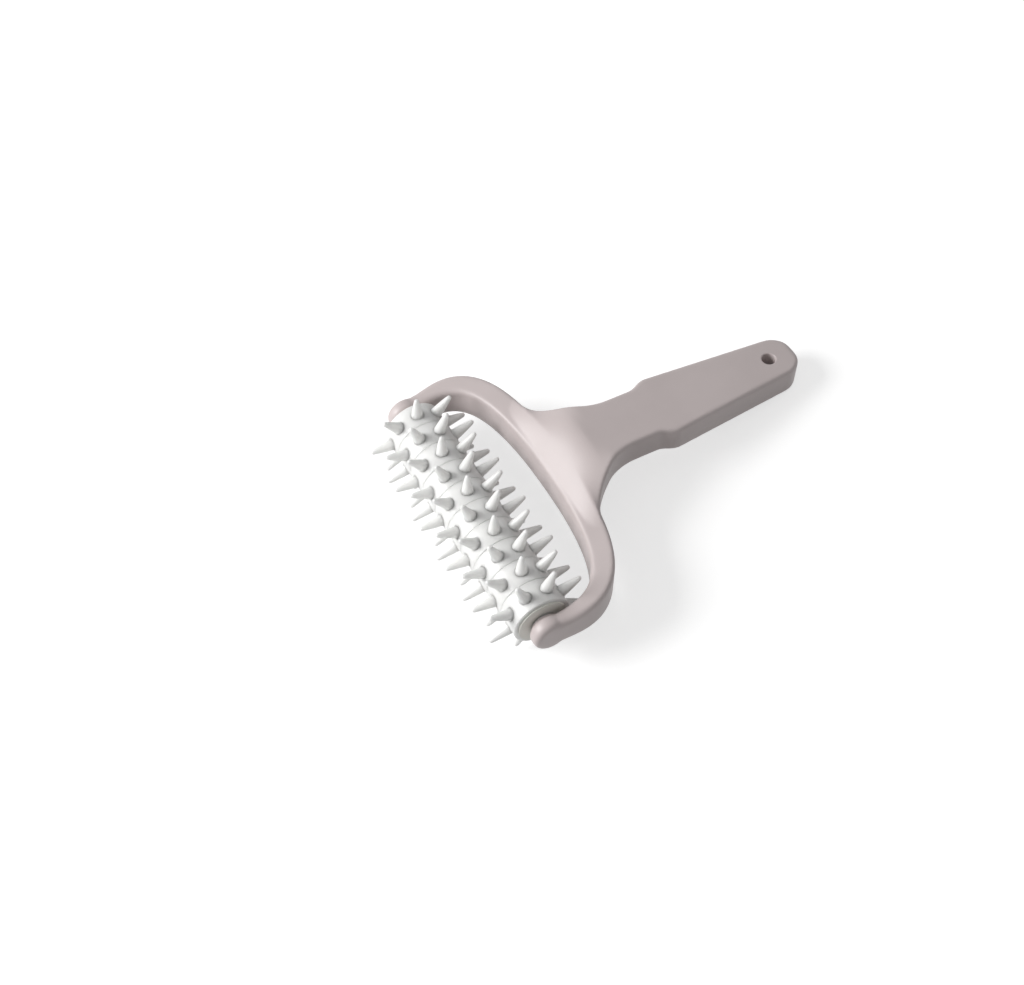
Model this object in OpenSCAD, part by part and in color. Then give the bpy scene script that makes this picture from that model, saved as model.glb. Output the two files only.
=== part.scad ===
// Dough docker: a spiked roller that turns in a forked hand grip.
// The origin is on the table under the middle of the whole object.
// +X runs along the roller, +Y towards the end of the grip, +Z up.

/* [Spiked rings] */
// Width of one ring along the roller
ring_w = 11; // [10:0.5:13]
// Diameter of a ring's body
ring_d = 24.5; // [23:0.5:27]
// Diameter of the circle that the spike tips lie on
tip_d = 43.6; // [40:0.4:46]
// Number of spikes round one ring
spikes = 8; // [6:1:9]
// Diameter of a spike at its root
spike_root_d = 4.8; // [4:0.1:5.6]
// Diameter of a spike's rounded tip
spike_tip_d = 2; // [1.4:0.1:2.6]
// Chamfer on the edges of a ring's body
ring_chamfer = 0.4; // [0.2:0.1:0.8]

/* [Roller core] */
// Outer diameter of the core tube under the rings
core_d = 16; // [15:0.5:17]
// Wall of the core tube
core_wall = 2.4; // [2:0.1:3]
// Width of the two keys that stop the rings turning on the core
key_w = 3; // [2:0.5:4]
// Height of the keys
key_h = 1.2; // [0.8:0.1:1.6]
// Length of an end bush inside the core tube
bush_len = 9; // [6:1:14]
// Diameter of an end bush's flange
bush_flange_d = 21; // [20:0.2:22]
// Thickness of an end bush's flange
bush_flange_t = 0.8; // [0.6:0.1:1.4]

/* [Axle] */
// Diameter of the steel axle
axle_d = 5; // [4:0.5:6]
// Chamfer on the ends of the axle
axle_chamfer = 0.5; // [0.3:0.1:0.8]
// Depth of the axle's seat in an arm, from the face of the boss
seat_depth = 5.4; // [4:0.1:5.6]
// Outer diameter of a washer
washer_d = 10; // [9:0.5:12]
// Thickness of a washer
washer_t = 0.5; // [0.4:0.1:1]

/* [Fork] */
// Thickness of an arm, along the roller
arm_t = 6.6; // [6.2:0.2:8]
// Height of an arm
arm_h = 13.8; // [13:0.2:15]
// Diameter of an arm's round end, about the axle
arm_end_d = 15.6; // [15.2:0.2:18]
// Height of the boss on the inner face of an arm
boss_h = 1; // [0.4:0.1:1.6]
// Diameter of the boss on the inner face of an arm
boss_d = 11.6; // [10.6:0.2:13]
// Gap between the spike tips and the crossbar
cross_gap = 10.6; // [9.4:0.2:14]
// Width of the fork's two shoulders, seen from above
shoulder_w = 9.4; // [8.8:0.2:11]
// Width of the crossbar, seen from above
cross_w = 9.8; // [9:0.2:12]
// Height of the crossbar's inner side
cross_h = 14; // [13:0.2:15]
// Height that the crossbar's outer edge stands above its inner edge
cross_lean = 2.6; // [0:0.2:3.4]
// Height of the crossbar's middle line over the axle
cross_rise = 4.9; // [3.5:0.1:6]
// Straightness of the crossbar, seen from above
cross_power = 2.25; // [2.2:0.05:2.7]
// Straightness of the arms, seen from above
arm_power = 4.4; // [4.2:0.1:5]
// Radius along the edges of the arms
arm_edge_r = 3; // [2:0.1:3]
// Radius along the edges of the crossbar and the grip
edge_r = 1.4; // [1.2:0.1:2.4]

/* [Grip] */
// Distance from the crossbar's middle line to the end of the grip
grip_reach = 113.4; // [104:0.2:150]
// Height of the neck's top face over the axle
grip_top = 23.2; // [18:0.2:25]
// How much lower the grip's top face is at its end
grip_fall = 1.8; // [0:0.2:4]
// Thickness of the grip
grip_t = 13; // [11.5:0.5:14.5]
// Width of the neck
neck_w = 24.6; // [20:0.2:26]
// Width of the grip where it starts
grip_w = 30.8; // [28:0.2:34]
// Width that the grip narrows to at its end
grip_end_w = 18.6; // [17:0.2:24]
// Width that the web between neck and crossbar spreads to
web_w = 78; // [66:1:82]
// Distance from the crossbar's inner edge to where the web starts to narrow
web_inset = 8; // [7:0.2:9]
// Distance over which the web narrows to the neck
web_len = 27; // [24:1:32]
// Distance from the crossbar's inner edge to where the web reaches the neck's height
web_ramp = 17.6; // [15:0.2:22]
// Distance over which the web's side edges rise to the neck's height
web_edge_ramp = 16; // [14:1:22]
// Distance from the crossbar's middle line to where the grip starts
grip_start = 45; // [43:1:52]
// Diameter of the hang hole
hole_d = 5.8; // [5:0.2:8]
// Distance from the hang hole's centre to the end of the grip
hole_inset = 12.4; // [10:0.2:15]
// Chamfer round the hang hole
hole_chamfer = 0.5; // [0.3:0.1:1.2]

/* [Fits] */
// Radial running clearance of the bushes on the axle
run_clear = 0.06; // [0.03:0.01:0.1]
// Radial clearance of pieces that are fixed on one another
seat_clear = 0.02; // [0.01:0.01:0.05]
// Clearance round the core and its keys in the rings
slide_clear = 0.05; // [0.03:0.01:0.1]
// End play of the roller at each side
end_play = 0.3; // [0.2:0.05:0.6]

/* [Hidden] */

ring_count = 10;
round_fn = 96;
edge_fn = 48;
spike_fn = 32;
// How far a cut runs past a face, and how far a fused shape reaches into another
over = 1;
// Points round one section of the fork, and stations along its arch, neck, grip and end
section_n = 32;
arch_n = 40;
neck_n = 16;
grip_n = 12;
end_n = 8;
// Largest share of a section's half size that its edge radius takes
edge_share = 0.96;
// How late across a section its bow and its drop set in
side_power = 2.5;
// How early an arm widens to the shoulder, and the shoulder to the crossbar
shoulder_early = 1.1;
cross_early = 1.6;
// Share of an arm's edge radius that the arm's round end has
arm_end_share = 0.8;

fork_colour = [0.79, 0.745, 0.755];
roller_colour = [0.95, 0.95, 0.94];
steel_colour = [0.74, 0.75, 0.77];

// Places along the roller, from the middle outwards
roller_half = ring_count * ring_w / 2;
bush_face = roller_half + bush_flange_t;
boss_face = bush_face + end_play + washer_t;
arm_in = boss_face + boss_h;
arm_mid = arm_in + arm_t / 2;
axle_half = boss_face + seat_depth;

// Radii of the roller
tip_r = tip_d / 2;
spike_end_r = spike_tip_d / 2;
core_in = core_d / 2 - core_wall;
// The roller rests on two rows of spikes, half a row step each side of straight down
row_half = 90 / spikes;
rest_h = (tip_r - spike_end_r) * cos(row_half) + spike_end_r;

// Places along the grip, from the axle, before it is tilted to rest
cross_in = tip_r + cross_gap;
cross_y = cross_in + cross_w / 2;
web_y = cross_in + web_inset;
// The web starts inside the crossbar, this far behind its inner edge
web_bury = 0.7;
web_start = cross_in + web_bury;
neck_y = web_y + web_len;
shoulder_y = cross_y + grip_start;
shoulder_len = 9;
end_y = cross_y + grip_reach;
hole_y = end_y - hole_inset;
// Rounding of the end of the grip, seen from above and from the side
end_round_share = 0.47;
end_plan_r = grip_end_w * end_round_share;
end_side_r = 2.4;
// Largest share of the grip's half width that its rounded end takes off
end_trim_share = 0.8;
// Angle on that rounding where the last station before the end stands
end_turn = 88;
cross_top = cross_rise + cross_h / 2;
// How far the web's start is bowed, to follow the crossbar
web_bow = 3.6;
// How far the web's start lies under the crossbar's top, in its middle and at its sides
web_sink = 0.3;
web_edge_sink = 0.9;
// How much thinner than the crossbar the web starts
web_thin = 1.6;
// How strongly the ramp is arched
ramp_power = 1.6;
// Distance in which the web's side edges climb 1 mm before they rise to the neck's height, and
// how far before the web's narrowing that rise starts
web_edge_run = 3;
web_edge_lead = 1;
// How far the neck's close stations go on past the ramp
neck_past = 4;

// The level line of the neck and grip's top face
function grip_line(y) = grip_top - grip_fall * (y - neck_y) / (end_y - neck_y);

// Tilt at which the end of the grip touches the table
rest_y = end_y - end_side_r;
rest_z = grip_line(rest_y) - grip_t + end_side_r;
tilt = asin((rest_h - end_side_r) / norm([rest_y, rest_z])) + atan2(rest_z, rest_y);
back_y = rest_y * cos(tilt) + (grip_line(rest_y) - end_side_r) * sin(tilt) + end_side_r;
axle_y = (rest_h - back_y) / 2;

// A smooth step from 0 to 1
function ease(t) = let (u = min(1, max(0, t))) u * u * (3 - 2 * u);
function mix(a, b, t) = a + (b - a) * t;
// A point round a rectangle of half sizes w and h with corners of radius r: half the points of a
// quarter go round its corner, the rest along its top or bottom
function edge_point(k, w, h, r) = let (
        per = section_n / 4,
        q = floor(k / per),
        i = k - q * per,
        s = q % 2 == 0 ? i : per - 1 - i,
        arc = per / 2,
        c = min(r, w * edge_share, h * edge_share),
        x = s <= arc ? w - c + c * cos(90 * s / arc) : (w - c) * (1 - (s - arc) / (per - arc - 0.5)),
        z = s <= arc ? h - c + c * sin(90 * s / arc) : h)
    [q == 0 || q == 3 ? x : -x, q < 2 ? z : -z];

// A solid through a row of sections, each [centre, unit side vector, half width, half height,
// edge radius, bow, drop, lean]: the sides of a section lie back by bow and lower by drop, and
// its top climbs by lean from the inner edge to the outer edge
module loft(sections) {
    rows = len(sections);
    points = [for (s = sections) for (k = [0 : section_n - 1])
        let (p = edge_point(k, s[2], s[3], s[4]), f = pow(abs(p[0]) / s[2], side_power))
        s[0] + s[1] * p[0] + [0, -s[5] * f,
            p[1] - s[6] * f + s[7] * (1 + p[0] / s[2]) / 2 * max(0, p[1] / s[3])]];
    sides = [for (i = [0 : rows - 2]) for (k = [0 : section_n - 1])
        let (j = (k + 1) % section_n, a = i * section_n, b = a + section_n)
        each [[a + k, a + j, b + k], [a + j, b + j, b + k]]];
    last = (rows - 1) * section_n;
    middle = rows * section_n;
    first_cap = [for (k = [0 : section_n - 1]) [(k + 1) % section_n, k, middle]];
    last_cap = [for (k = [0 : section_n - 1]) [last + k, last + (k + 1) % section_n, middle + 1]];
    polyhedron(concat(points, [sections[0][0], sections[rows - 1][0]]),
        concat(sides, first_cap, last_cap));
}

// The inner edge of both arms and the crossbar, one rounded path seen from above
function arch_at(a) = let (b = pow(sin(a), 2 / arm_power))
    [arm_in * sign(cos(a)) * pow(abs(cos(a)), 2 / cross_power), cross_in * b, cross_rise * ease(b)];
function arch_section(a) = let (
        c = arch_at(a),
        d = arch_at(min(180, a + 0.5)) - arch_at(max(0, a - 0.5)),
        n = [d[1], -d[0], 0] / norm([d[0], d[1]]),
        b = c[1] / cross_in,
        side = mix(arm_t, shoulder_w, ease(b * shoulder_early)),
        w = mix(side, cross_w, ease((1 - abs(c[0]) / arm_in) * cross_early)),
        h = mix(arm_h, cross_h, ease(b)))
    [c + n * w / 2, n, w / 2, h / 2, mix(arm_edge_r, edge_r, ease(b)), 0, 0, cross_lean * ease(b)];

// Half width of the web, neck and grip at a distance from the axle
function grip_taper(y) = mix(grip_w, grip_end_w, max(0, (y - shoulder_y) / (end_y - shoulder_y)));
function grip_half(y) =
    let (web = min(1, max(0, 1 - (y - web_y) / web_len)))
    mix(neck_w, grip_taper(y), ease((y - shoulder_y) / shoulder_len + 0.5)) / 2
        + (web_w - neck_w) / 2 * (1 - sqrt(1 - web * web));
// Top along the middle: an arched ramp from the crossbar's inner edge to the grip's level line
function grip_z(y) =
    let (ramp = max(0, 1 - (y - web_start) / web_ramp))
    grip_line(y) - (grip_line(y) - cross_top + web_sink) * pow(ramp, ramp_power);
// Top along the side edges, which rise later
function edge_z(y) = min(grip_z(y),
    mix(cross_top - web_edge_sink + (y - web_start) / web_edge_run, grip_line(y),
        ease((y - web_y + web_edge_lead) / web_edge_ramp)));
function grip_thick(y) = mix(cross_h - web_thin, grip_t, ease((y - web_start) / web_ramp));
function grip_section(y, trim_w, trim_z) = let (
        h = grip_thick(y) / 2,
        start = max(0, 1 - (y - web_start) / web_ramp))
    [[0, y, grip_z(y) - h], [1, 0, 0], grip_half(y) - trim_w, h - trim_z, edge_r,
        web_bow * start, grip_z(y) - edge_z(y), 0];
// How far a rounding of radius r has drawn in at a distance y
function drawn_in(y, r) = let (d = max(0, y - (end_y - r))) r - sqrt(max(0, r * r - d * d));

module grip_body() {
    past_ramp = web_start + web_ramp + neck_past;
    widest = shoulder_y + shoulder_len / 2;
    end_start = end_y - end_plan_r;
    stations = concat(
        [for (i = [0 : neck_n - 1]) mix(web_start, past_ramp, i / neck_n)],
        [for (i = [0 : grip_n - 1]) mix(past_ramp, widest, i / grip_n)],
        [widest],
        [for (i = [0 : end_n]) end_start + end_plan_r * sin(end_turn * i / end_n)],
        [end_y]);
    loft([for (y = stations)
        grip_section(y, min(drawn_in(y, end_plan_r), grip_half(y) * end_trim_share),
            min(drawn_in(y, end_side_r), end_side_r))]);
}

// Round end of an arm, with its edges rounded, about the axle
module arm_end() {
    r = arm_end_d / 2;
    e = arm_edge_r * arm_end_share;
    rotate([0, 90, 0])
        rotate_extrude($fn = round_fn)
            difference() {
                union() {
                    translate([0, -arm_t / 2])
                        square([r - e, arm_t]);
                    translate([0, e - arm_t / 2])
                        square([r, arm_t - 2 * e]);
                    for (s = [-1, 1])
                        translate([r - e, s * (arm_t / 2 - e)])
                            circle(e, $fn = edge_fn);
                }
                translate([-r, -arm_t])
                    square([r, 2 * arm_t]);
            }
}

// Moves what is built about the axle to where it rests on the table
module at_rest(turn) {
    translate([0, axle_y, rest_h])
        rotate([-turn, 0, 0])
            children();
}

// A tube about the X axis from x0 to x1
module tube_x(r_out, r_in, x0, x1) {
    translate([x0, 0, 0])
        rotate([0, 90, 0])
            difference() {
                cylinder(h = x1 - x0, r = r_out, $fn = round_fn);
                translate([0, 0, -over])
                    cylinder(h = x1 - x0 + 2 * over, r = r_in, $fn = round_fn);
            }
}

module fork_handle() {
    color(fork_colour)
        at_rest(tilt)
            difference() {
                union() {
                    loft([for (i = [0 : arch_n]) arch_section(180 * i / arch_n)]);
                    grip_body();
                    for (s = [-1, 1]) {
                        translate([s * arm_mid, 0, 0])
                            arm_end();
                        translate([s * (arm_in + arm_t / 4), 0, 0])
                            rotate([0, -s * 90, 0])
                                cylinder(h = boss_h + arm_t / 4, d = boss_d, $fn = round_fn);
                    }
                }
                for (s = [-1, 1])
                    translate([s * (boss_face - over), 0, 0])
                        rotate([0, s * 90, 0])
                            cylinder(h = seat_depth + over + end_play, d = axle_d + 2 * seat_clear,
                                $fn = round_fn);
                translate([0, hole_y, 0]) {
                    cylinder(h = grip_top + over, d = hole_d, $fn = round_fn);
                    translate([0, 0, grip_z(hole_y) - hole_chamfer])
                        cylinder(h = 2 * hole_chamfer, d1 = hole_d, d2 = hole_d + 4 * hole_chamfer,
                            $fn = round_fn);
                    translate([0, 0, grip_z(hole_y) - grip_t - hole_chamfer])
                        cylinder(h = 2 * hole_chamfer, d1 = hole_d + 4 * hole_chamfer, d2 = hole_d,
                            $fn = round_fn);
                }
            }
}

module axle() {
    color(steel_colour)
        at_rest(0)
            rotate([0, 90, 0]) {
                translate([0, 0, axle_chamfer - axle_half])
                    cylinder(h = 2 * (axle_half - axle_chamfer), d = axle_d, $fn = round_fn);
                for (s = [0, 1])
                    mirror([0, 0, s])
                        translate([0, 0, axle_half - axle_chamfer])
                            cylinder(h = axle_chamfer, d1 = axle_d, d2 = axle_d - 2 * axle_chamfer,
                                $fn = round_fn);
            }
}

module washer(s) {
    color(steel_colour)
        at_rest(0)
            mirror([s < 0 ? 1 : 0, 0, 0])
                tube_x(washer_d / 2, axle_d / 2 + run_clear, boss_face - washer_t, boss_face);
}

module roller_core() {
    color(roller_colour)
        at_rest(0)
            difference() {
                rotate([0, 90, 0])
                    union() {
                        translate([0, 0, -roller_half])
                            cylinder(h = 2 * roller_half, d = core_d, $fn = round_fn);
                        for (s = [-1, 1])
                            translate([0, s * (core_d / 2 + key_h / 2 - over / 2), 0])
                                cube([key_w, key_h + over, 2 * roller_half], center = true);
                    }
                translate([-roller_half - over, 0, 0])
                    rotate([0, 90, 0])
                        cylinder(h = 2 * (roller_half + over), r = core_in, $fn = round_fn);
            }
}

// Flanged end bush: its shank is pressed into the core, its bore runs on the axle
module bush(s) {
    // Narrow hole of both tubes, which the bore widens
    pilot_r = axle_d / 4;
    color(roller_colour)
        at_rest(0)
            mirror([s < 0 ? 1 : 0, 0, 0])
                difference() {
                    union() {
                        tube_x(bush_flange_d / 2, pilot_r, roller_half, bush_face);
                        tube_x(core_in - seat_clear, pilot_r, roller_half - bush_len, bush_face);
                    }
                    translate([roller_half - bush_len - over, 0, 0])
                        rotate([0, 90, 0])
                            cylinder(h = bush_len + bush_flange_t + 2 * over, r = axle_d / 2 + run_clear,
                                $fn = round_fn);
                }
}

module spike() {
    root = ring_d / 2 - over;
    translate([0, 0, root])
        cylinder(h = tip_r - spike_end_r - root, r1 = spike_root_d / 2, r2 = spike_end_r,
            $fn = spike_fn);
    translate([0, 0, tip_r - spike_end_r])
        sphere(spike_end_r, $fn = spike_fn);
}

// One ring; the spikes of odd and even rings stand half a step apart
module spiked_ring(n) {
    x = (n - 1 - (ring_count - 1) / 2) * ring_w;
    r = ring_d / 2;
    r_in = core_d / 2 - over;
    w = ring_w / 2;
    c = ring_chamfer;
    turn = n % 2 == 0 ? row_half : -row_half;
    color(roller_colour)
        at_rest(0)
            translate([x, 0, 0])
                difference() {
                    union() {
                        rotate([0, 90, 0])
                            rotate_extrude($fn = round_fn)
                                polygon([[r_in, -w], [r - c, -w], [r, c - w],
                                    [r, w - c], [r - c, w], [r_in, w]]);
                        for (i = [0 : spikes - 1])
                            rotate([turn + 180 + i * 360 / spikes, 0, 0])
                                spike();
                    }
                    rotate([0, 90, 0]) {
                        cylinder(h = ring_w + 2 * over, d = core_d + 2 * slide_clear, center = true,
                            $fn = round_fn);
                        for (s = [-1, 1])
                            translate([0, s * (core_d / 2 + key_h / 2 - over / 2), 0])
                                cube([key_w + 2 * slide_clear, key_h + over + 2 * slide_clear,
                                    ring_w + 2 * over], center = true);
                    }
                }
}

fork_handle();
axle();
washer(-1);  // washer_left
washer(1);  // washer_right
roller_core();
bush(-1);  // bush_left
bush(1);  // bush_right
spiked_ring(1);  // ring_01
spiked_ring(2);  // ring_02
spiked_ring(3);  // ring_03
spiked_ring(4);  // ring_04
spiked_ring(5);  // ring_05
spiked_ring(6);  // ring_06
spiked_ring(7);  // ring_07
spiked_ring(8);  // ring_08
spiked_ring(9);  // ring_09
spiked_ring(10);  // ring_10
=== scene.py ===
"""Dough docker: a white spiked roller in a mauve-grey forked grip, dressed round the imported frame."""

import math

import bmesh
import bpy
from mathutils import Matrix, Vector


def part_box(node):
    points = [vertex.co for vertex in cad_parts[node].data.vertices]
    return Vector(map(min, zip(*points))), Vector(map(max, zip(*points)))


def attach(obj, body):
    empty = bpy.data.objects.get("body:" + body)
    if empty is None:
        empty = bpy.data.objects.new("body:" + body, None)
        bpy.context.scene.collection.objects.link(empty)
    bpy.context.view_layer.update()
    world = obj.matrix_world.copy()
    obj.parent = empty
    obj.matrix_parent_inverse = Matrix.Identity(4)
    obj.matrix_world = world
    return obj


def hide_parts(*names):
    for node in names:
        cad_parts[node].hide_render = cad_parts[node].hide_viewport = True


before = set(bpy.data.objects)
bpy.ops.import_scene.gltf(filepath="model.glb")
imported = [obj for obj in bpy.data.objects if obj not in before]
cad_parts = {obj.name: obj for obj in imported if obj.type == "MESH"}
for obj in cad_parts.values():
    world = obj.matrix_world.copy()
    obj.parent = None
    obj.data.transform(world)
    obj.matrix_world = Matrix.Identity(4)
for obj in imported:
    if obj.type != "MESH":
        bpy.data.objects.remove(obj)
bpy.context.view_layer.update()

# Sizes of the real object, in millimetres, about the axle before the grip is tilted
MM = 0.001

RING_W = 11.0
RING_R = 12.25
TIP_R = 21.8
SPIKE_END_R = 1.0
SPIKE_ROOT_R = 2.2
SPIKES = 8
# How far a spike's root is sunk into its ring, and how much steeper than an even cone it tapers
SPIKE_SUNK = 0.6
TAPER = 1.18
# The flare round a spike's root: its width, its height, the share of the width that shows, and
# how strongly it is hollowed
FLARE_W = 0.7
FLARE_H = 1.9
FLARE_SHARE = 0.9
FLARE_POWER = 2.2
RINGS = 10
RING_EDGE_R = 0.25
# Half of the hairline between two rings
RING_LINE = 0.02
CORE_BORE_R = 8.05

ARM_T = 6.6
ARM_H = 13.8
ARM_END_R = 7.8
# Share of the arm's edge radius that its round end has
ARM_END_SHARE = 0.8
BOSS_H = 1.0
BOSS_R = 5.8
BOSS_EDGE = 0.2
AXLE_R = 2.5
SEAT_DEPTH = 5.4
SEAT_CLEAR = 0.02
END_PLAY = 0.3
CROSS_GAP = 10.6
SHOULDER_W = 9.4
CROSS_W = 9.8
CROSS_H = 14.0
CROSS_LEAN = 2.6
CROSS_RISE = 4.9
CROSS_POWER = 2.25
ARM_POWER = 4.4
ARM_EDGE_R = 3.0
EDGE_R = 1.4
# How early an arm widens to the shoulder, and the shoulder to the crossbar
SHOULDER_EARLY = 1.1
CROSS_EARLY = 1.6
# Largest share of a section's half size that its edge radius takes
EDGE_SHARE = 0.96
# How late across a section its bow and its drop set in
SIDE_POWER = 2.5

GRIP_REACH = 113.4
GRIP_TOP = 23.2
GRIP_FALL = 1.8
GRIP_T = 13.0
NECK_W = 24.6
GRIP_W = 30.8
GRIP_END_W = 18.6
WEB_W = 78.0
WEB_INSET = 8.0
WEB_LEN = 27.0
WEB_RAMP = 17.6
WEB_EDGE_RAMP = 16.0
WEB_BOW = 3.6
# The web starts this far behind the crossbar's inner edge, inside the crossbar
WEB_BURY = 0.7
# How far the web's start lies under the crossbar's top, in its middle and at its sides
WEB_SINK = 0.3
WEB_EDGE_SINK = 0.9
# How much thinner than the crossbar the web starts, and how strongly its ramp is arched
WEB_THIN = 1.6
RAMP_POWER = 1.6
# Distance in which the web's side edges climb 1 mm before they rise to the neck's height, and
# how far before the web's narrowing that rise starts
WEB_EDGE_RUN = 3.0
WEB_EDGE_LEAD = 1.0
GRIP_START = 45.0
SHOULDER_LEN = 9.0
# Rounding of the grip's end: its share of the end's width, the largest share of a half width
# that it takes off, the angle of its last station, and its radius seen from the side
END_ROUND_SHARE = 0.47
END_TRIM_SHARE = 0.8
END_TURN = 88
END_SIDE_R = 2.4
HOLE_R = 2.9
HOLE_LIP = 0.5
HOLE_INSET = 12.4

# Fineness of the fork: stations along the arch, the grip and the grip's end, the size of the
# cells that melt its shapes together, and the rounds of smoothing after that
ARCH_STATIONS = 120
GRIP_STATIONS = 110
END_STATIONS = 14
SKIN_CELL = 0.5
SKIN_SMOOTHING = 5
# How far a cutting tool runs past a face
OVER = 3.0

# Places that the frame gives, the axle and the boss faces, then the other places of the fork, the hang
# hole among them
axle_low, axle_high = (Vector(corner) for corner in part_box("axle"))
AXLE = (axle_low + axle_high) / 2
BOSS_FACE = max(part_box("washer_right")[1]) / MM
ARM_IN = BOSS_FACE + BOSS_H
ARM_MID = ARM_IN + ARM_T / 2

CROSS_IN = TIP_R + CROSS_GAP
CROSS_Y = CROSS_IN + CROSS_W / 2
WEB_Y = CROSS_IN + WEB_INSET
WEB_START = CROSS_IN + WEB_BURY
NECK_Y = WEB_Y + WEB_LEN
SHOULDER_Y = CROSS_Y + GRIP_START
END_Y = CROSS_Y + GRIP_REACH
HOLE_Y = END_Y - HOLE_INSET
END_PLAN_R = GRIP_END_W * END_ROUND_SHARE
CROSS_TOP = CROSS_RISE + CROSS_H / 2


def grip_line(y):
    """Height of the level line of the neck and grip's top face."""
    return GRIP_TOP - GRIP_FALL * (y - NECK_Y) / (END_Y - NECK_Y)


# The tilt that brings the end of the grip down to the table, from the height of the axle
REST_Y = END_Y - END_SIDE_R
REST_Z = grip_line(REST_Y) - GRIP_T + END_SIDE_R
TILT = math.asin((AXLE.z / MM - END_SIDE_R) / math.hypot(REST_Y, REST_Z)) + math.atan2(REST_Z, REST_Y)
AT_REST = Matrix.Translation(AXLE) @ Matrix.Rotation(-TILT, 4, "X") @ Matrix.Scale(MM, 4)
ABOUT_AXLE = Matrix.Translation(AXLE) @ Matrix.Scale(MM, 4)


# Colours and materials
def linear(hex_colour):
    """An sRGB hex colour as linear RGBA."""
    parts = [int(hex_colour[i:i + 2], 16) / 255 for i in (0, 2, 4)]
    return [c / 12.92 if c <= 0.04045 else ((c + 0.055) / 1.055) ** 2.4 for c in parts] + [1.0]


def add(tree, kind, settings=None, **links):
    """Adds a node, sets its properties and sockets, and links what is given by socket name."""
    node = tree.nodes.new(kind)
    for name, value in (settings or {}).items():
        if hasattr(node, name):
            setattr(node, name, value)
        else:
            node.inputs[name].default_value = value
    for name, source in links.items():
        tree.links.new(source, node.inputs[name.replace("_", " ")])
    return node


def new_material(name):
    material = bpy.data.materials.new(name)
    material.use_nodes = True
    tree = material.node_tree
    tree.nodes.clear()
    shader = tree.nodes.new("ShaderNodeBsdfPrincipled")
    out = tree.nodes.new("ShaderNodeOutputMaterial")
    tree.links.new(shader.outputs["BSDF"], out.inputs["Surface"])
    place = tree.nodes.new("ShaderNodeTexCoord").outputs["Object"]
    return material, tree, shader, place


def moulded_plastic(name, base, deep, roughness, grain_mm, grain_depth_mm, flow_mm, ior=1.5,
                    milky_mm=0.0):
    """Injection-moulded plastic: flow clouds in the colour, a fine tool grain in the surface, and
    light that travels milky_mm through it."""
    material, tree, shader, place = new_material(name)
    clouds = add(tree, "ShaderNodeTexNoise", {"Scale": 1 / (flow_mm * MM), "Detail": 3.0,
                 "Roughness": 0.55}, Vector=place)
    tint = add(tree, "ShaderNodeValToRGB", Fac=clouds.outputs["Fac"])
    tint.color_ramp.elements[0].position = 0.3
    tint.color_ramp.elements[0].color = linear(deep)
    tint.color_ramp.elements[1].position = 0.7
    tint.color_ramp.elements[1].color = linear(base)
    tree.links.new(tint.outputs["Color"], shader.inputs["Base Color"])

    grain = add(tree, "ShaderNodeTexNoise", {"Scale": 1 / (grain_mm * MM), "Detail": 2.0}, Vector=place)
    gloss = add(tree, "ShaderNodeMapRange", {"From Min": 0.3, "From Max": 0.7,
                "To Min": roughness - 0.05, "To Max": roughness + 0.05}, Value=grain.outputs["Fac"])
    tree.links.new(gloss.outputs["Result"], shader.inputs["Roughness"])
    bump = add(tree, "ShaderNodeBump", {"Strength": 0.35, "Distance": grain_depth_mm * MM},
               Height=grain.outputs["Fac"])
    tree.links.new(bump.outputs["Normal"], shader.inputs["Normal"])
    shader.inputs["IOR"].default_value = ior
    if milky_mm:
        shader.inputs["Subsurface Weight"].default_value = 0.7
        shader.inputs["Subsurface Radius"].default_value = (1.0, 1.0, 1.0)
        shader.inputs["Subsurface Scale"].default_value = milky_mm * MM
    return material


def drawn_steel():
    """Bright drawn rod: fine lines along the axle that stretch its highlights."""
    material, tree, shader, place = new_material("drawn_steel_rod")
    line_len, line_w = 6 * MM, 0.12 * MM
    along = add(tree, "ShaderNodeMapping", {"Scale": (1 / line_len, 1 / line_w, 1 / line_w)},
                Vector=place)
    lines = add(tree, "ShaderNodeTexNoise", {"Scale": 1.0, "Detail": 4.0},
                Vector=along.outputs["Vector"])
    gloss = add(tree, "ShaderNodeMapRange", {"To Min": 0.22, "To Max": 0.38}, Value=lines.outputs["Fac"])
    bump = add(tree, "ShaderNodeBump", {"Strength": 0.3, "Distance": 0.01 * MM},
               Height=lines.outputs["Fac"])
    tree.links.new(gloss.outputs["Result"], shader.inputs["Roughness"])
    tree.links.new(bump.outputs["Normal"], shader.inputs["Normal"])
    shader.inputs["Base Color"].default_value = linear("c9cbcf")
    shader.inputs["Metallic"].default_value = 1.0
    return material


# Satin ABS with a light spark-eroded grain: soft highlights on a warm mauve grey
fork_abs = moulded_plastic("satin_mauve_abs", "cabfbe", "c4b9b8", 0.42, 0.35, 0.03, 30)
# Polished-mould polypropylene: whiter and smoother than the fork, with light softly spread inside
ring_pp = moulded_plastic("gloss_white_polypropylene", "f3f3f1", "efefec", 0.34, 0.6, 0.02, 18,
                          ior=1.49, milky_mm=5.0)
# Natural acetal: slightly warm and dull
bush_acetal = moulded_plastic("natural_acetal", "ecebe4", "e6e5dd", 0.4, 0.4, 0.02, 10, ior=1.48)
steel = drawn_steel()


# Meshes
def ease(t):
    u = min(1.0, max(0.0, t))
    return u * u * (3 - 2 * u)


def mix(a, b, t):
    return a + (b - a) * t


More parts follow.
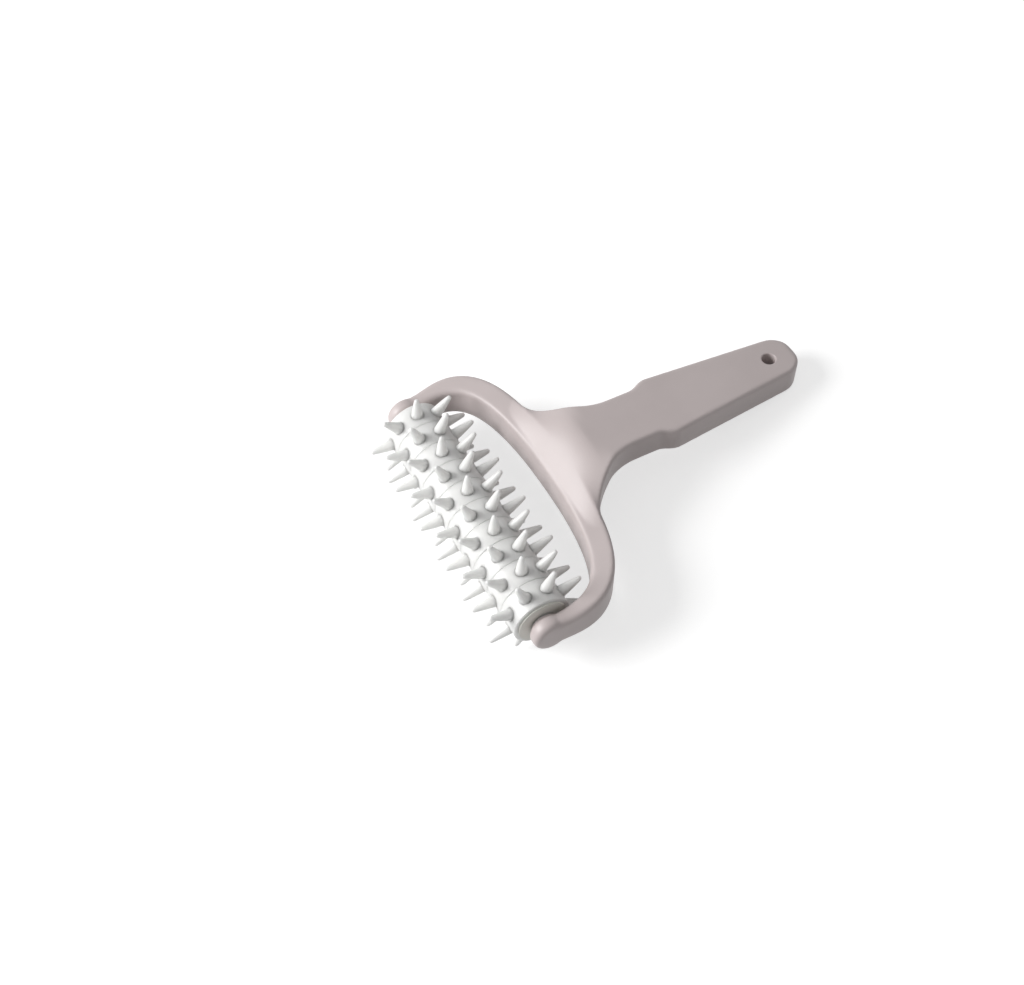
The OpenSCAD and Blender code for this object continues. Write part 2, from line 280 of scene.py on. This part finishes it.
def edge_point(k, around, w, h, r):
    """A point round a rectangle of half sizes w and h with corners of radius r: half the points
    of a quarter go round its corner, the rest along its top or bottom."""
    per = around // 4
    quarter, step = divmod(k, per)
    if quarter % 2:
        step = per - 1 - step
    arc = per // 2
    r = min(r, w * EDGE_SHARE, h * EDGE_SHARE)
    if step <= arc:
        angle = math.radians(90 * step / arc)
        x, z = w - r + r * math.cos(angle), h - r + r * math.sin(angle)
    else:
        x, z = (w - r) * (1 - (step - arc) / (per - arc - 0.5)), h
    return (x if quarter in (0, 3) else -x), (z if quarter < 2 else -z)


def finished(name, build, place, material, smooth=True):
    """A mesh object at the origin, from a bmesh in millimetres put in its place."""
    build.transform(place)
    bmesh.ops.recalc_face_normals(build, faces=build.faces)
    mesh = bpy.data.meshes.new(name)
    build.to_mesh(mesh)
    build.free()
    for face in mesh.polygons:
        face.use_smooth = smooth
    piece = bpy.data.objects.new(name, mesh)
    bpy.context.scene.collection.objects.link(piece)
    if material:
        mesh.materials.append(material)
    return piece


def applied(piece):
    """The piece with its modifiers turned into plain mesh."""
    bpy.context.view_layer.update()
    graph = bpy.context.evaluated_depsgraph_get()
    mesh = bpy.data.meshes.new_from_object(piece.evaluated_get(graph))
    piece.modifiers.clear()
    old = piece.data
    piece.data = mesh
    bpy.data.meshes.remove(old)
    return piece


def loft(build, sections, around=80):
    """A closed solid through sections, each (centre, side vector, half width, half height, edge
    radius, bow, drop, lean): the sides of a section lie back by bow and lower by drop, and its
    top climbs by lean from the inner edge to the outer edge."""
    rows = []
    for centre, side, w, h, r, bow, drop, lean in sections:
        row = []
        for k in range(around):
            across, up = edge_point(k, around, w, h, r)
            f = (abs(across) / w) ** SIDE_POWER
            climb = lean * (1 + across / w) / 2 * max(0.0, up / h)
            shift = Vector((0, -bow * f, up - drop * f + climb))
            row.append(build.verts.new(centre + side * across + shift))
        rows.append(row)
    for low, high in zip(rows, rows[1:]):
        for k in range(around):
            j = (k + 1) % around
            build.faces.new((low[k], low[j], high[j], high[k]))
    for row, section in ((rows[0], sections[0]), (rows[-1], sections[-1])):
        middle = build.verts.new(section[0])
        for k in range(around):
            build.faces.new((row[k], row[(k + 1) % around], middle))


def lathe(build, profile, around, place=None):
    """A solid of revolution about Z from (radius, height) points; a closed profile makes a tube."""
    start = len(build.verts)
    rings = []
    for radius, height in profile:
        if radius < 1e-6:
            rings.append([build.verts.new((0, 0, height))])
        else:
            rings.append([build.verts.new((radius * math.cos(2 * math.pi * k / around),
                         radius * math.sin(2 * math.pi * k / around), height)) for k in range(around)])
    closed = len(rings[0]) > 1 and len(rings[-1]) > 1
    pairs = list(zip(rings, rings[1:])) + ([(rings[-1], rings[0])] if closed else [])
    for low, high in pairs:
        for k in range(around):
            j = (k + 1) % around
            ring = [low[k % len(low)], low[j % len(low)], high[j % len(high)], high[k % len(high)]]
            corners = list(dict.fromkeys(ring))
            if len(corners) > 2:
                build.faces.new(corners)
    if place:
        build.verts.ensure_lookup_table()
        bmesh.ops.transform(build, matrix=place, verts=build.verts[start:])


def arc(centre, radius, from_deg, to_deg, steps):
    """Points of an arc in the profile plane."""
    return [(centre[0] + radius * math.cos(math.radians(mix(from_deg, to_deg, i / steps))),
             centre[1] + radius * math.sin(math.radians(mix(from_deg, to_deg, i / steps))))
            for i in range(steps + 1)]


# The fork: an arch that holds the roller, a web, a neck and a grip
def arch_at(angle):
    """The inner edge of both arms and the crossbar, one rounded path."""
    across, along = math.cos(angle), abs(math.sin(angle)) ** (2 / ARM_POWER)
    return Vector((ARM_IN * math.copysign(abs(across) ** (2 / CROSS_POWER), across), CROSS_IN * along,
                   CROSS_RISE * ease(along)))


def arch_section(angle):
    step = math.radians(0.5)
    inner = arch_at(angle)
    run = arch_at(min(math.pi, angle + step)) - arch_at(max(0.0, angle - step))
    side = Vector((run.y, -run.x, 0)).normalized()
    along = inner.y / CROSS_IN
    shoulder = mix(ARM_T, SHOULDER_W, ease(along * SHOULDER_EARLY))
    width = mix(shoulder, CROSS_W, ease((1 - abs(inner.x) / ARM_IN) * CROSS_EARLY))
    height = mix(ARM_H, CROSS_H, ease(along))
    return (inner + side * width / 2, side, width / 2, height / 2,
            mix(ARM_EDGE_R, EDGE_R, ease(along)), 0.0, 0.0, CROSS_LEAN * ease(along))


def grip_half(y):
    web = min(1.0, max(0.0, 1 - (y - WEB_Y) / WEB_LEN))
    taper = mix(GRIP_W, GRIP_END_W, max(0.0, (y - SHOULDER_Y) / (END_Y - SHOULDER_Y)))
    width = mix(NECK_W, taper, ease((y - SHOULDER_Y) / SHOULDER_LEN + 0.5))
    return width / 2 + (WEB_W - NECK_W) / 2 * (1 - math.sqrt(1 - web * web))


def grip_top_at(y):
    """Top along the middle: an arched ramp from the crossbar's inner edge to the level line."""
    ramp = max(0.0, 1 - (y - WEB_START) / WEB_RAMP)
    return grip_line(y) - (grip_line(y) - CROSS_TOP + WEB_SINK) * ramp ** RAMP_POWER


def edge_top_at(y):
    """Top along the side edges, which rise later."""
    start = CROSS_TOP - WEB_EDGE_SINK + (y - WEB_START) / WEB_EDGE_RUN
    rise = ease((y - WEB_Y + WEB_EDGE_LEAD) / WEB_EDGE_RAMP)
    return min(grip_top_at(y), mix(start, grip_line(y), rise))


def drawn_in(y, radius):
    d = max(0.0, y - (END_Y - radius))
    return radius - math.sqrt(max(0.0, radius * radius - d * d))


def grip_section(y):
    half = mix(CROSS_H - WEB_THIN, GRIP_T, ease((y - WEB_START) / WEB_RAMP)) / 2
    trim_w = min(drawn_in(y, END_PLAN_R), grip_half(y) * END_TRIM_SHARE)
    trim_z = min(drawn_in(y, END_SIDE_R), END_SIDE_R)
    start = max(0.0, 1 - (y - WEB_START) / WEB_RAMP)
    return (Vector((0, y, grip_top_at(y) - half)), Vector((1, 0, 0)), grip_half(y) - trim_w,
            half - trim_z, EDGE_R, WEB_BOW * start, grip_top_at(y) - edge_top_at(y), 0.0)


def along_x(x, sign=1):
    """Turns a solid made about Z to run along X, outwards on the given side."""
    return Matrix.Translation((x, 0, 0)) @ Matrix.Rotation(sign * math.pi / 2, 4, "Y")


def part_solid(name, maker):
    build = bmesh.new()
    maker(build)
    return finished(name, build, Matrix.Identity(4), None)


def cut_or_join(piece, tool, operation):
    step = piece.modifiers.new("shape", "BOOLEAN")
    step.operation = operation
    step.solver = "EXACT"
    step.object = tool
    applied(piece)
    bpy.data.objects.remove(tool)


def arm_end_profile():
    r, t, e = ARM_END_R, ARM_T / 2, ARM_EDGE_R * ARM_END_SHARE
    return ([(0.0, -t)] + arc((r - e, e - t), e, -90, 0, 8) + arc((r - e, t - e), e, 0, 90, 8)
            + [(0.0, t)])


def hole_profile():
    """The hang hole with a small rounded lip at both faces."""
    top = grip_line(HOLE_Y)
    low = top - GRIP_T
    mouth = HOLE_R + HOLE_LIP
    return ([(0.0, low - OVER), (mouth, low - OVER)]
            + arc((mouth, low + HOLE_LIP), HOLE_LIP, -90, -180, 8)
            + arc((mouth, top - HOLE_LIP), HOLE_LIP, 180, 90, 8)
            + [(mouth, top + OVER), (0.0, top + OVER)])


def boss_profile():
    """The boss on an arm's inner face, rooted in the arm."""
    return [(0.0, -OVER), (BOSS_R, -OVER), (BOSS_R, BOSS_H - BOSS_EDGE),
            (BOSS_R - BOSS_EDGE, BOSS_H), (0.0, BOSS_H)]


def seat_profile():
    """The axle's seat, from before the boss's face to its bottom."""
    radius, bottom = AXLE_R + SEAT_CLEAR, SEAT_DEPTH + END_PLAY
    return [(0.0, -OVER), (radius, -OVER), (radius, bottom), (0.0, bottom)]


def grip_stations():
    """Places of the sections along the web, neck and grip, close together round the end."""
    end_start = END_Y - END_PLAN_R
    places = [mix(WEB_START, end_start, i / GRIP_STATIONS) for i in range(GRIP_STATIONS)]
    turns = [math.radians(END_TURN * i / END_STATIONS) for i in range(END_STATIONS + 1)]
    return places + [end_start + END_PLAN_R * math.sin(turn) for turn in turns] + [END_Y]


def make_fork():
    arch = [arch_section(math.pi * i / ARCH_STATIONS) for i in range(ARCH_STATIONS + 1)]
    grip = [grip_section(y) for y in grip_stations()]
    fork = part_solid("fork_and_grip", lambda b: loft(b, arch))
    cut_or_join(fork, part_solid("grip_tool", lambda b: loft(b, grip)), "UNION")
    for side in (-1, 1):
        place = along_x(side * ARM_MID)
        end = part_solid("end_tool", lambda b: lathe(b, arm_end_profile(), 96, place))
        cut_or_join(fork, end, "UNION")

    # The moulding is one skin: its joins are melted together and softened
    skin = fork.modifiers.new("skin", "REMESH")
    skin.mode = "VOXEL"
    skin.voxel_size = SKIN_CELL
    soft = fork.modifiers.new("soft", "CORRECTIVE_SMOOTH")
    soft.use_only_smooth = True
    soft.iterations = SKIN_SMOOTHING
    applied(fork)

    for side in (-1, 1):
        place = along_x(side * ARM_IN, -side)
        boss = part_solid("boss_tool", lambda b: lathe(b, boss_profile(), 64, place))
        cut_or_join(fork, boss, "UNION")
        place = along_x(side * BOSS_FACE, side)
        seat = part_solid("seat_tool", lambda b: lathe(b, seat_profile(), 64, place))
        cut_or_join(fork, seat, "DIFFERENCE")
    place = Matrix.Translation((0, HOLE_Y, 0))
    hole = part_solid("hole_tool", lambda b: lathe(b, hole_profile(), 64, place))
    cut_or_join(fork, hole, "DIFFERENCE")

    fork.data.transform(AT_REST)
    fork.data.materials.clear()
    fork.data.materials.append(fork_abs)
    fork.data.polygons.foreach_set("use_smooth", [True] * len(fork.data.polygons))
    fork.data.set_sharp_from_angle(angle=math.radians(38))
    return fork


# The spiked rings: one spike shape, set round each ring's body by a node tree
def spike_profile():
    """Half outline of a spike: a flared root, a straight taper and a rounded tip."""
    root = RING_R - SPIKE_SUNK
    flare_top = RING_R + FLARE_H
    top = TIP_R - SPIKE_END_R
    foot_r = SPIKE_ROOT_R + FLARE_W
    points = [(0.0, root - SPIKE_SUNK), (foot_r, root - SPIKE_SUNK)]
    for i in range(7):
        t = i / 6
        flare = FLARE_W * FLARE_SHARE * (1 - t) ** FLARE_POWER
        points.append((SPIKE_ROOT_R + flare, mix(root, flare_top, t)))
    lean = (SPIKE_ROOT_R - SPIKE_END_R) / (top - RING_R) * TAPER
    for i in range(1, 6):
        h = mix(flare_top, top, i / 6)
        points.append((SPIKE_ROOT_R - lean * (h - flare_top), h))
    points += arc((0.0, top), SPIKE_END_R, 8, 90, 6)[:-1] + [(0.0, TIP_R)]
    return points


def ring_profile():
    """Cross-section of a ring's body, with softly rounded edges."""
    w, e = RING_W / 2 - RING_LINE, RING_EDGE_R
    return ([(CORE_BORE_R, -w)] + arc((RING_R - e, e - w), e, -90, 0, 5)
            + arc((RING_R - e, w - e), e, 0, 90, 5) + [(CORE_BORE_R, w)])


def ring_tree():
    """Node tree that stands a number of spikes round a ring's body."""
    tree = bpy.data.node_groups.new("spikes_round_ring", "GeometryNodeTree")
    face = tree.interface
    face.new_socket("Geometry", in_out="INPUT", socket_type="NodeSocketGeometry")
    face.new_socket("Spike", in_out="INPUT", socket_type="NodeSocketObject")
    face.new_socket("Spike count", in_out="INPUT", socket_type="NodeSocketInt")
    face.new_socket("First angle", in_out="INPUT", socket_type="NodeSocketFloat")
    face.new_socket("Material", in_out="INPUT", socket_type="NodeSocketMaterial")
    face.new_socket("Geometry", in_out="OUTPUT", socket_type="NodeSocketGeometry")
    given = tree.nodes.new("NodeGroupInput").outputs
    result = tree.nodes.new("NodeGroupOutput")

    seats = add(tree, "GeometryNodePoints")
    tree.links.new(given["Spike count"], seats.inputs["Count"])
    number = add(tree, "GeometryNodeInputIndex")
    step = add(tree, "ShaderNodeMath", {"operation": "DIVIDE"})
    step.inputs[0].default_value = 2 * math.pi
    tree.links.new(given["Spike count"], step.inputs[1])
    turn = add(tree, "ShaderNodeMath", {"operation": "MULTIPLY_ADD"})
    tree.links.new(number.outputs["Index"], turn.inputs[0])
    tree.links.new(step.outputs[0], turn.inputs[1])
    tree.links.new(given["First angle"], turn.inputs[2])
    angle = add(tree, "ShaderNodeCombineXYZ")
    tree.links.new(turn.outputs[0], angle.inputs["X"])
    spin = add(tree, "FunctionNodeEulerToRotation", Euler=angle.outputs[0])
    shape = add(tree, "GeometryNodeObjectInfo", Object=given["Spike"])
    stand = add(tree, "GeometryNodeInstanceOnPoints", Points=seats.outputs[0],
                Instance=shape.outputs["Geometry"], Rotation=spin.outputs[0])
    both = add(tree, "GeometryNodeJoinGeometry")
    tree.links.new(given["Geometry"], both.inputs[0])
    tree.links.new(stand.outputs["Instances"], both.inputs[0])
    real = add(tree, "GeometryNodeRealizeInstances", Geometry=both.outputs[0])
    coat = add(tree, "GeometryNodeSetMaterial", Geometry=real.outputs[0], Material=given["Material"])
    tree.links.new(coat.outputs[0], result.inputs["Geometry"])
    return tree


def make_rings():
    tree = ring_tree()
    socket = {item.name: item.identifier for item in tree.interface.items_tree if item.in_out == "INPUT"}
    spike = part_solid("spike_shape", lambda b: lathe(b, spike_profile(), 28))
    row_half = math.pi / 2 / SPIKES
    rings = []
    for n in range(1, RINGS + 1):
        build = bmesh.new()
        lathe(build, ring_profile(), 128, along_x(0))
        ring = finished(f"spiked_ring_{n:02d}", build, Matrix.Identity(4), None)
        grow = ring.modifiers.new("spikes", "NODES")
        grow.node_group = tree
        grow[socket["Spike"]] = spike
        grow[socket["Spike count"]] = SPIKES
        grow[socket["First angle"]] = math.pi + (row_half if n % 2 == 0 else -row_half)
        grow[socket["Material"]] = ring_pp
        applied(ring)
        x = (n - 1 - (RINGS - 1) / 2) * RING_W
        ring.data.transform(ABOUT_AXLE @ Matrix.Translation((x, 0, 0)))
        ring.data.polygons.foreach_set("use_smooth", [True] * len(ring.data.polygons))
        ring.data.set_sharp_from_angle(angle=math.radians(50))
        rings.append(ring)
    bpy.data.objects.remove(spike)
    return rings


fork = make_fork()
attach(fork, "fork")
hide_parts("fork_handle")

for number, ring in enumerate(make_rings(), start=1):
    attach(ring, "roller")
    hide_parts(f"ring_{number:02d}")

FINISH = {"axle": steel, "washer_left": steel, "washer_right": steel,
          "roller_core": ring_pp, "bush_left": bush_acetal, "bush_right": bush_acetal}
for node, material in FINISH.items():
    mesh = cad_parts[node].data
    mesh.materials.clear()
    mesh.materials.append(material)


# Floor, light and camera
def sees_background(tree):
    """1 for camera, glossy and transmission rays."""
    rays = tree.nodes.new("ShaderNodeLightPath").outputs
    first = add(tree, "ShaderNodeMath", {"operation": "MAXIMUM"})
    tree.links.new(rays["Is Camera Ray"], first.inputs[0])
    tree.links.new(rays["Is Glossy Ray"], first.inputs[1])
    both = add(tree, "ShaderNodeMath", {"operation": "MAXIMUM"})
    tree.links.new(first.outputs[0], both.inputs[0])
    tree.links.new(rays["Is Transmission Ray"], both.inputs[1])
    return both.outputs[0]


def pale_floor():
    """A matt white table top; seen directly it is lifted to white and keeps the shadow."""
    material = bpy.data.materials.new("white_table")
    material.use_nodes = True
    tree = material.node_tree
    tree.nodes.clear()
    matt = add(tree, "ShaderNodeBsdfDiffuse", {"Color": linear("c8c8c8")})
    lift = add(tree, "ShaderNodeEmission", {"Color": (1, 1, 1, 1)})
    # The lift grows with the distance from the object, where the lamp no longer reaches
    place = tree.nodes.new("ShaderNodeTexCoord").outputs["Object"]
    distance = add(tree, "ShaderNodeVectorMath", {"operation": "LENGTH"})
    tree.links.new(place, distance.inputs[0])
    grown = add(tree, "ShaderNodeMapRange", {"From Min": 0.25, "From Max": 1.3, "To Min": 0.63,
                "To Max": 0.88}, Value=distance.outputs["Value"])
    strength = add(tree, "ShaderNodeMath", {"operation": "MULTIPLY"})
    tree.links.new(grown.outputs["Result"], strength.inputs[1])
    tree.links.new(sees_background(tree), strength.inputs[0])
    tree.links.new(strength.outputs[0], lift.inputs["Strength"])
    both = add(tree, "ShaderNodeAddShader")
    tree.links.new(matt.outputs[0], both.inputs[0])
    tree.links.new(lift.outputs[0], both.inputs[1])
    out = tree.nodes.new("ShaderNodeOutputMaterial")
    tree.links.new(both.outputs[0], out.inputs["Surface"])
    return material


build = bmesh.new()
bmesh.ops.create_grid(build, x_segments=1, y_segments=1, size=6.0)
floor = finished("table_top", build, Matrix.Identity(4), pale_floor())

world = bpy.data.worlds.new("white_room")
world.use_nodes = True
bpy.context.scene.world = world
sky = world.node_tree
sky.nodes.clear()
room_light = add(sky, "ShaderNodeBackground", {"Color": (1, 1, 1, 1), "Strength": 0.32})
backdrop = add(sky, "ShaderNodeBackground", {"Color": (1, 1, 1, 1), "Strength": 1.0})
choose = add(sky, "ShaderNodeMixShader")
sky.links.new(sees_background(sky), choose.inputs[0])
sky.links.new(room_light.outputs[0], choose.inputs[1])
sky.links.new(backdrop.outputs[0], choose.inputs[2])
sky.links.new(choose.outputs[0], sky.nodes.new("ShaderNodeOutputWorld").inputs["Surface"])


def soft_box(name, position, size, watts):
    """A square studio lamp aimed at the object."""
    lamp = bpy.data.lights.new(name, "AREA")
    lamp.shape = "SQUARE"
    lamp.size = size
    lamp.energy = watts
    holder = bpy.data.objects.new(name, lamp)
    holder.location = position
    holder.rotation_euler = (Vector(position) - AXLE).to_track_quat("Z", "Y").to_euler()
    bpy.context.scene.collection.objects.link(holder)


# The key stands low before the roller, on its left: the ramp and the crossbar are bright, the top
# of the grip a middle grey, the right sides dark
soft_box("key_soft_box", (-0.42, -0.84, 0.74), 0.6, 13.0)

# The photograph's view, as angles about the axle's middle before the grip is tilted to rest
IMAGE_W, IMAGE_H = 1024, 985
VIEW_AZIMUTH = math.radians(62.16)
VIEW_ELEVATION = math.radians(54.16)
VIEW_ROLL = math.radians(-0.45)
VIEW_DISTANCE = 683.0
FOCAL_PIXELS = 1700.0
AXLE_PIXEL = (474.5, 518.2)

toward = Vector((math.sin(VIEW_AZIMUTH) * math.cos(VIEW_ELEVATION),
                 -math.cos(VIEW_AZIMUTH) * math.cos(VIEW_ELEVATION), math.sin(VIEW_ELEVATION)))
look = toward.to_track_quat("Z", "Y").to_matrix().to_4x4()
camera_data = bpy.data.cameras.new("product_camera")
camera_data.sensor_width = 36.0
camera_data.lens = FOCAL_PIXELS / IMAGE_W * camera_data.sensor_width
camera_data.shift_x = (IMAGE_W / 2 - AXLE_PIXEL[0]) / IMAGE_W
camera_data.shift_y = (AXLE_PIXEL[1] - IMAGE_H / 2) / IMAGE_W
camera_data.clip_start = 0.01
camera = bpy.data.objects.new("product_camera", camera_data)
turned = Matrix.Rotation(-TILT, 4, "X")
camera.matrix_world = (Matrix.Translation(AXLE) @ turned
                       @ Matrix.Translation(toward * VIEW_DISTANCE * MM) @ look
                       @ Matrix.Rotation(VIEW_ROLL, 4, "Z"))
bpy.context.scene.collection.objects.link(camera)
bpy.context.scene.camera = camera
bpy.context.scene.view_settings.view_transform = "Standard"
